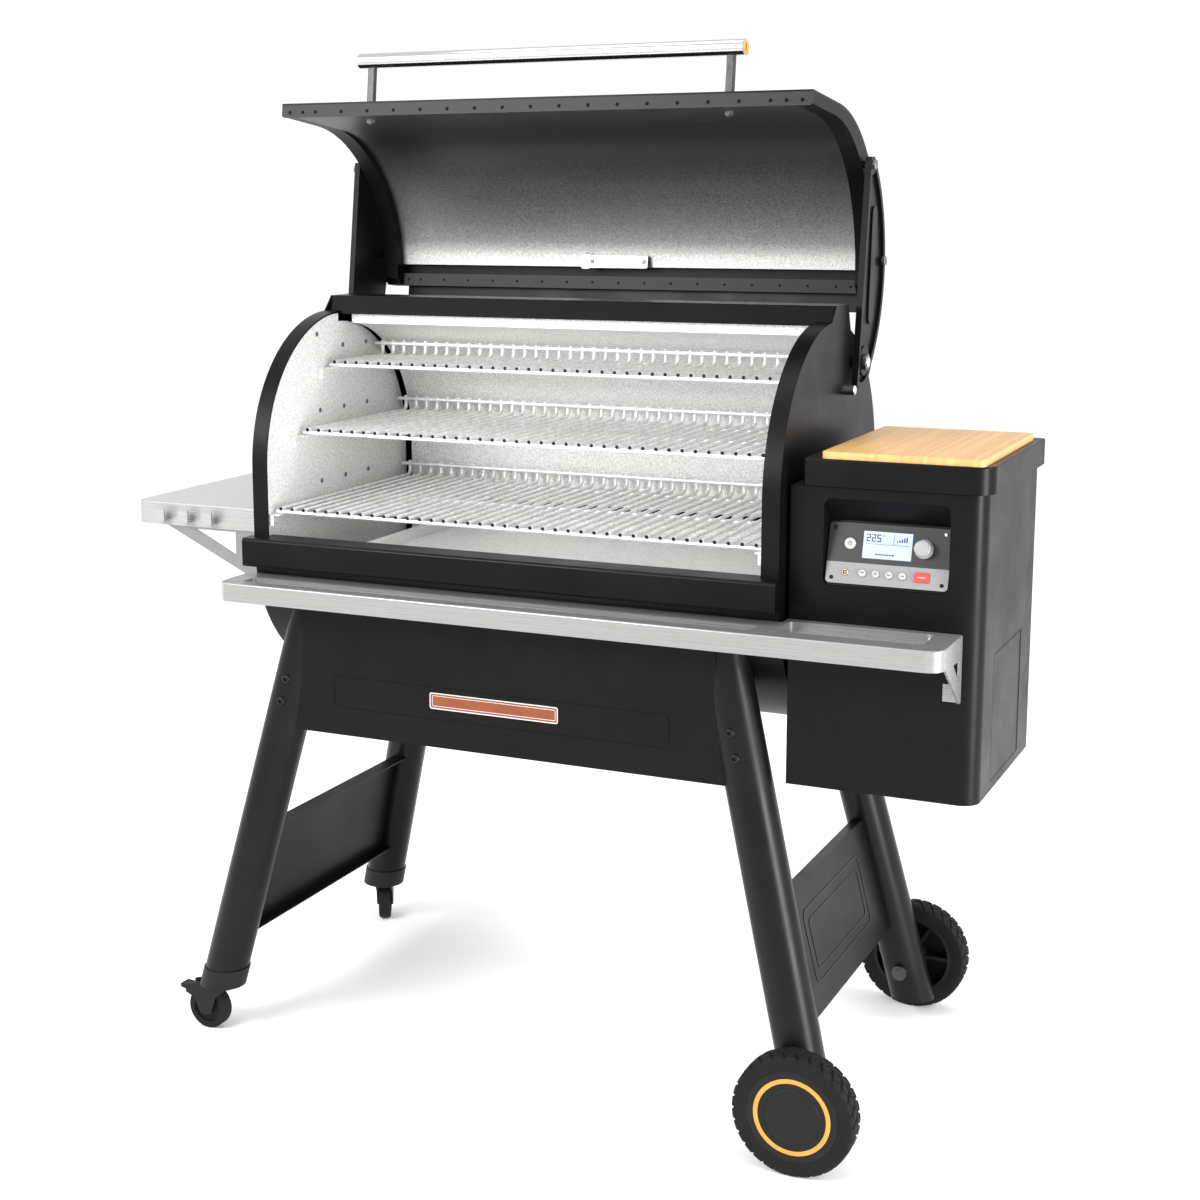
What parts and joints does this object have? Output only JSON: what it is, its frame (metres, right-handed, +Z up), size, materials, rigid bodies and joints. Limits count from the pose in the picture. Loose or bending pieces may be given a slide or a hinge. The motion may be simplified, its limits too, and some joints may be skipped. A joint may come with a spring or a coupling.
{
  "type": "pellet smoker grill",
  "caption": "Wide barrel pellet smoker grill on a four-legged cart with a hinged lid, pull-out grates, front and side shelves, pellet hopper with controls, wheels and swivel casters.",
  "frame": {"origin": "on the ground, under the middle of the bounding box of the whole grill with its lid open", "axes": "+X to the right, towards the pellet hopper; +Y to the back; +Z up"},
  "size_m": [1.528, 0.724, 1.6711],
  "materials": {
    "black_paint": "satin black high-temperature powder coat",
    "leg_paint": "satin black powder coat with a light sheen",
    "brushed_stainless": "brushed along the length",
    "liner_stainless": "fine matt mill finish",
    "polished_stainless": "polished",
    "grate_stainless": "bright drawn wire",
    "bamboo": "oiled end-laminated bamboo",
    "black_plastic": "fine moulded texture",
    "panel": "matt charcoal face with a silver lower strip",
    "silver_plastic": "satin silver",
    "red_plastic": "semi-gloss",
    "lcd": "lit display behind a clear cover",
    "tyre_rubber": "matt moulded tread",
    "dark_steel": "zinc-plated, dulled"
  },
  "bodies": {
    "cart": {"barrel_shell": "black_paint", "end_panels": "black_paint", "barrel_liner": "liner_stainless", "top_ridge": "black_paint", "front_lip": "black_paint", "front_shelf": "brushed_stainless", "side_shelf": "brushed_stainless", "side_brackets": "brushed_stainless", "legs": "leg_paint", "braces": "black_paint", "aprons": "black_paint", "leg_bolts": "dark_steel", "leg_caps": "black_plastic", "hopper_body": "black_paint", "pellet_bin": "dark_steel", "power_inlet": "black_plastic", "control_panel": "panel", "display": "lcd", "grate_rails": "liner_stainless", "drip_tray": "liner_stainless", "heat_baffle": "dark_steel", "fire_pot": "dark_steel", "auger_tube": "dark_steel", "auger_motor": "dark_steel", "blower_housing": "black_plastic", "hinge_pins": "dark_steel", "axles": "dark_steel", "exhaust_duct": "black_paint"},
    "lid": {"lid_skin": "black_paint", "lid_liner": "liner_stainless", "lid_frame": "black_paint", "lid_arms": "black_paint", "handle_bar": "polished_stainless", "handle_caps": "polished_stainless", "handle_mounts": "dark_steel"},
    "hopper_lid": {"hopper_lid": "black_paint"},
    "cutting_board": {"cutting_board": "bamboo"},
    "cleanout_door": {"cleanout_door": "black_paint"},
    "control_knob": {"control_knob": "silver_plastic"},
    "power_button": {"power_button": "silver_plastic"},
    "menu_button_1": {"menu_button_1": "silver_plastic"},
    "menu_button_2": {"menu_button_2": "silver_plastic"},
    "menu_button_3": {"menu_button_3": "silver_plastic"},
    "menu_button_4": {"menu_button_4": "silver_plastic"},
    "ignite_button": {"ignite_button": "red_plastic"},
    "grate_bottom": {"grate_bottom": "grate_stainless"},
    "grate_middle": {"grate_middle": "grate_stainless"},
    "grate_top": {"grate_top": "grate_stainless"},
    "wheel_front": {"tyre_front": "tyre_rubber", "hub_front": "black_plastic"},
    "caster_fork_front": {"caster_fork_front": "black_plastic"},
    "caster_wheel_front": {"caster_wheel_front": "tyre_rubber"},
    "brake_lever_front": {"brake_lever_front": "black_plastic"},
    "wheel_rear": {"tyre_rear": "tyre_rubber", "hub_rear": "black_plastic"},
    "caster_fork_rear": {"caster_fork_rear": "black_plastic"},
    "caster_wheel_rear": {"caster_wheel_rear": "tyre_rubber"},
    "brake_lever_rear": {"brake_lever_rear": "black_plastic"},
    "auger": {"auger": "dark_steel"},
    "blower_impeller": {"blower_impeller": "black_plastic"}
  },
  "joints": [
    {"name": "lid_hinge", "type": "hinge", "parent": "cart", "child": "lid", "pos_m": [0, 0.115, 1.172], "axis": [1, 0, 0], "range_deg": [0, 96.7]},
    {"name": "hopper_lid_hinge", "type": "hinge", "parent": "cart", "child": "hopper_lid", "pos_m": [0.6255, 0.148, 1.02], "axis": [-1, 0, 0], "range_deg": [0, 95]},
    {"name": "board_lift", "type": "slide", "parent": "hopper_lid", "child": "cutting_board", "axis": [0, 0, 1], "range_m": [0, 0.06]},
    {"name": "cleanout_door_hinge", "type": "hinge", "parent": "cart", "child": "cleanout_door", "pos_m": [0.753, 0.052, 0.6735], "axis": [0, 0, 1], "range_deg": [0, 95]},
    {"name": "knob_turn", "type": "hinge", "parent": "cart", "child": "control_knob", "pos_m": [0.664, -0.21163, 0.93513], "axis": [0, -0.9664, 0.257], "continuous": true},
    {"name": "power_press", "type": "slide", "parent": "cart", "child": "power_button", "axis": [0, 0.9664, -0.257], "range_m": [0, 0.002], "stiffness_N_per_m": 300},
    {"name": "menu_press_1", "type": "slide", "parent": "cart", "child": "menu_button_1", "axis": [0, 0.9664, -0.257], "range_m": [0, 0.002], "stiffness_N_per_m": 300},
    {"name": "menu_press_2", "type": "slide", "parent": "cart", "child": "menu_button_2", "axis": [0, 0.9664, -0.257], "range_m": [0, 0.002], "stiffness_N_per_m": 300},
    {"name": "menu_press_3", "type": "slide", "parent": "cart", "child": "menu_button_3", "axis": [0, 0.9664, -0.257], "range_m": [0, 0.002], "stiffness_N_per_m": 300},
    {"name": "menu_press_4", "type": "slide", "parent": "cart", "child": "menu_button_4", "axis": [0, 0.9664, -0.257], "range_m": [0, 0.002], "stiffness_N_per_m": 300},
    {"name": "ignite_press", "type": "slide", "parent": "cart", "child": "ignite_button", "axis": [0, 0.9664, -0.257], "range_m": [0, 0.002], "stiffness_N_per_m": 300},
    {"name": "grate_bottom_slide", "type": "slide", "parent": "cart", "child": "grate_bottom", "axis": [0, 1, 0], "range_m": [-0.3, 0]},
    {"name": "grate_middle_slide", "type": "slide", "parent": "cart", "child": "grate_middle", "axis": [0, 1, 0], "range_m": [-0.22, 0]},
    {"name": "grate_top_slide", "type": "slide", "parent": "cart", "child": "grate_top", "axis": [0, 1, 0], "range_m": [-0.12, 0]},
    {"name": "wheel_front_spin", "type": "hinge", "parent": "cart", "child": "wheel_front", "pos_m": [0.531, -0.341, 0.095], "axis": [0, 1, 0], "continuous": true},
    {"name": "wheel_rear_spin", "type": "hinge", "parent": "cart", "child": "wheel_rear", "pos_m": [0.531, 0.341, 0.095], "axis": [0, 1, 0], "continuous": true},
    {"name": "caster_front_swivel", "type": "hinge", "parent": "cart", "child": "caster_fork_front", "pos_m": [-0.532, -0.28, 0.095], "axis": [0, 0, 1], "continuous": true},
    {"name": "caster_front_roll", "type": "hinge", "parent": "caster_fork_front", "child": "caster_wheel_front", "pos_m": [-0.561, -0.28, 0.038], "axis": [0, -1, 0], "continuous": true},
    {"name": "brake_front_press", "type": "hinge", "parent": "caster_fork_front", "child": "brake_lever_front", "pos_m": [-0.596, -0.28, 0.068], "axis": [0, -1, 0], "range_deg": [0, 15]},
    {"name": "caster_rear_swivel", "type": "hinge", "parent": "cart", "child": "caster_fork_rear", "pos_m": [-0.532, 0.28, 0.095], "axis": [0, 0, 1], "continuous": true},
    {"name": "caster_rear_roll", "type": "hinge", "parent": "caster_fork_rear", "child": "caster_wheel_rear", "pos_m": [-0.54471, 0.30606, 0.038], "axis": [-0.8988, -0.4384, 0], "continuous": true},
    {"name": "brake_rear_press", "type": "hinge", "parent": "caster_fork_rear", "child": "brake_lever_rear", "pos_m": [-0.56006, 0.33752, 0.068], "axis": [-0.8988, -0.4384, 0], "range_deg": [0, 15]},
    {"name": "auger_turn", "type": "hinge", "parent": "cart", "child": "auger", "pos_m": [0.35, 0, 0.69], "axis": [1, 0, 0], "continuous": true},
    {"name": "blower_spin", "type": "hinge", "parent": "cart", "child": "blower_impeller", "pos_m": [0.69, 0.075, 0.625], "axis": [0, 1, 0], "continuous": true}
  ]
}
